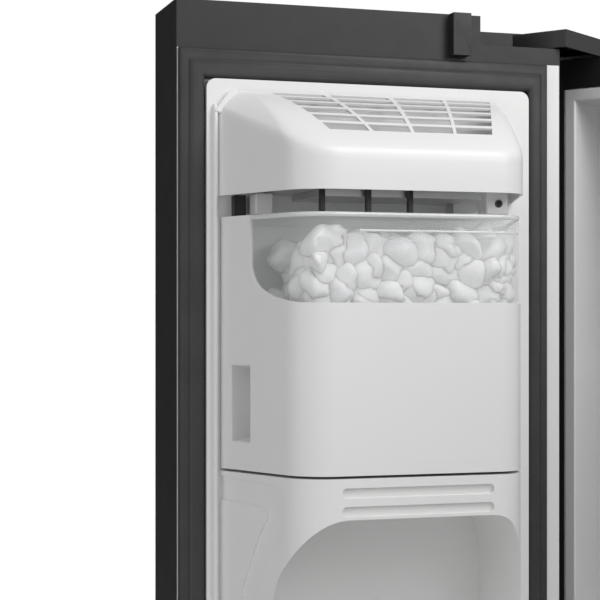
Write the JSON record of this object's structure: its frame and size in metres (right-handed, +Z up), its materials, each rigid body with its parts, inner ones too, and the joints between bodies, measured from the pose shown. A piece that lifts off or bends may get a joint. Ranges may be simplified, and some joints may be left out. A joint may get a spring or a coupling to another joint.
{
  "type": "side by side refrigerator",
  "caption": "Side by side refrigerator with open doors, in-door ice maker, pull-out ice bin, dispenser, shelves, drawers and door bins.",
  "frame": {"origin": "centre of the cabinet's footprint on the floor, at the floor level", "axes": "+X to the right of someone facing the doors, +Y to the back, +Z up; the closed doors face -Y"},
  "size_m": [1.5039, 1.2378, 1.78],
  "materials": {
    "case_paint": "fine textured dark graphite enamel",
    "door_steel": "satin black coated steel",
    "bare_steel": "galvanised sheet",
    "plated": "zinc plated",
    "white_liner": "satin white moulded styrene",
    "grey_cap": "dark grey moulded plastic",
    "black_plastic": "black moulded plastic",
    "gasket_grey": "soft grey vinyl",
    "foam": "rigid foam",
    "ice_cover_white": "satin white",
    "clear": "clear",
    "ice": "frosted ice",
    "aluminium": "cast and finned",
    "tyre": "hard rubber",
    "screen": "black glass",
    "trim": "satin trim",
    "board": "grey moulded plastic"
  },
  "bodies": {
    "cabinet": {"cabinet_wrapper": "case_paint", "back_panel": "bare_steel", "mullion_rail": "case_paint", "base_frame": "bare_steel", "levelling_feet": "plated", "toe_grille": "black_plastic", "freezer_liner": "white_liner", "fridge_liner": "white_liner", "insulation_foam": "foam", "freezer_shelves": "clear", "fridge_shelves": "clear", "shelf_trims": "white_liner", "freezer_air_cover": "white_liner", "evaporator": "aluminium", "fridge_air_duct": "white_liner", "light_lenses": "clear", "compressor": "case_paint", "drain_pan": "black_plastic", "condenser": "case_paint", "condenser_shroud": "black_plastic", "machine_cover": "bare_steel", "water_valve": "board", "power_cord_gland": "black_plastic", "upper_hinges": "plated", "lower_hinges": "plated", "hinge_covers": "black_plastic"},
    "freezer_door": {"freezer_door_skin": "door_steel", "freezer_door_caps": "grey_cap", "freezer_door_gasket": "gasket_grey", "freezer_door_liner": "white_liner", "freezer_door_foam": "foam", "dispenser_housing": "black_plastic", "dispenser_panel": "screen", "drip_tray": "grey_cap", "freezer_door_handle": "trim", "freezer_door_bins": "clear", "ice_maker_cover": "ice_cover_white", "ice_maker": "aluminium"},
    "fridge_door": {"fridge_door_skin": "door_steel", "fridge_door_caps": "grey_cap", "fridge_door_gasket": "gasket_grey", "fridge_door_liner": "white_liner", "fridge_door_foam": "foam", "fridge_door_handle": "trim", "fridge_door_bins": "clear"},
    "ice_bin": {"ice_bin": "ice_cover_white", "ice_bin_window": "clear", "ice_cubes": "ice"},
    "ice_auger": {"ice_auger": "plated"},
    "ice_ejector": {"ice_ejector": "board"},
    "paddle": {"dispenser_paddle": "grey_cap"},
    "duct_flap": {"duct_flap": "board"},
    "freezer_drawer_lower": {"freezer_drawer_lower": "ice_cover_white"},
    "freezer_drawer_upper": {"freezer_drawer_upper": "ice_cover_white"},
    "crisper_lower": {"crisper_lower": "clear"},
    "crisper_upper": {"crisper_upper": "clear"},
    "condenser_fan": {"condenser_fan": "black_plastic"},
    "evaporator_fan": {"evaporator_fan": "black_plastic"},
    "rear_roller_left": {"rear_roller_left": "tyre"},
    "rear_roller_right": {"rear_roller_right": "tyre"}
  },
  "joints": [
    {"name": "freezer_door_swing", "type": "hinge", "parent": "cabinet", "child": "freezer_door", "pos_m": [-0.438, -0.429, 1], "axis": [0, 0, -1], "range_deg": [-126, 2]},
    {"name": "fridge_door_swing", "type": "hinge", "parent": "cabinet", "child": "fridge_door", "pos_m": [0.438, -0.429, 1], "axis": [0, 0, 1], "range_deg": [-126, 2]},
    {"name": "ice_bin_slide", "type": "slide", "parent": "freezer_door", "child": "ice_bin", "axis": [0.809, -0.5878, 0], "range_m": [0, 0.15]},
    {"name": "ice_auger_spin", "type": "hinge", "parent": "ice_bin", "child": "ice_auger", "pos_m": [-0.46054, -0.65057, 1.368], "axis": [-0.5878, -0.809, 0], "continuous": true},
    {"name": "ice_ejector_spin", "type": "hinge", "parent": "freezer_door", "child": "ice_ejector", "pos_m": [-0.46054, -0.65057, 1.6265], "axis": [-0.5878, -0.809, 0], "continuous": true},
    {"name": "paddle_press", "type": "hinge", "parent": "freezer_door", "child": "paddle", "pos_m": [-0.54395, -0.57823, 1.226], "axis": [-0.5878, -0.809, 0], "range_deg": [0, 9]},
    {"name": "duct_flap_turn", "type": "hinge", "parent": "freezer_door", "child": "duct_flap", "pos_m": [-0.56013, -0.56647, 1.244], "axis": [-0.5878, -0.809, 0], "range_deg": [0, 36]},
    {"name": "freezer_drawer_lower_slide", "type": "slide", "parent": "cabinet", "child": "freezer_drawer_lower", "axis": [0, -1, 0], "range_m": [0, 0.17]},
    {"name": "freezer_drawer_upper_slide", "type": "slide", "parent": "cabinet", "child": "freezer_drawer_upper", "axis": [0, -1, 0], "range_m": [0, 0.17]},
    {"name": "crisper_lower_slide", "type": "slide", "parent": "cabinet", "child": "crisper_lower", "axis": [0, -1, 0], "range_m": [0, 0.17]},
    {"name": "crisper_upper_slide", "type": "slide", "parent": "cabinet", "child": "crisper_upper", "axis": [0, -1, 0], "range_m": [0, 0.17]},
    {"name": "condenser_fan_spin", "type": "hinge", "parent": "cabinet", "child": "condenser_fan", "pos_m": [-0.074, 0.258, 0.19], "axis": [1, 0, 0], "continuous": true},
    {"name": "evaporator_fan_spin", "type": "hinge", "parent": "cabinet", "child": "evaporator_fan", "pos_m": [-0.2475, 0.267, 1.32], "axis": [0, 1, 0], "continuous": true},
    {"name": "rear_roller_left_spin", "type": "hinge", "parent": "cabinet", "child": "rear_roller_left", "pos_m": [-0.4005, 0.33, 0.025], "axis": [1, 0, 0], "continuous": true},
    {"name": "rear_roller_right_spin", "type": "hinge", "parent": "cabinet", "child": "rear_roller_right", "pos_m": [0.4005, 0.33, 0.025], "axis": [1, 0, 0], "continuous": true}
  ],
  "couplings": [
    {"joint": "duct_flap_turn", "follows": "paddle_press", "ratio": 4}
  ]
}
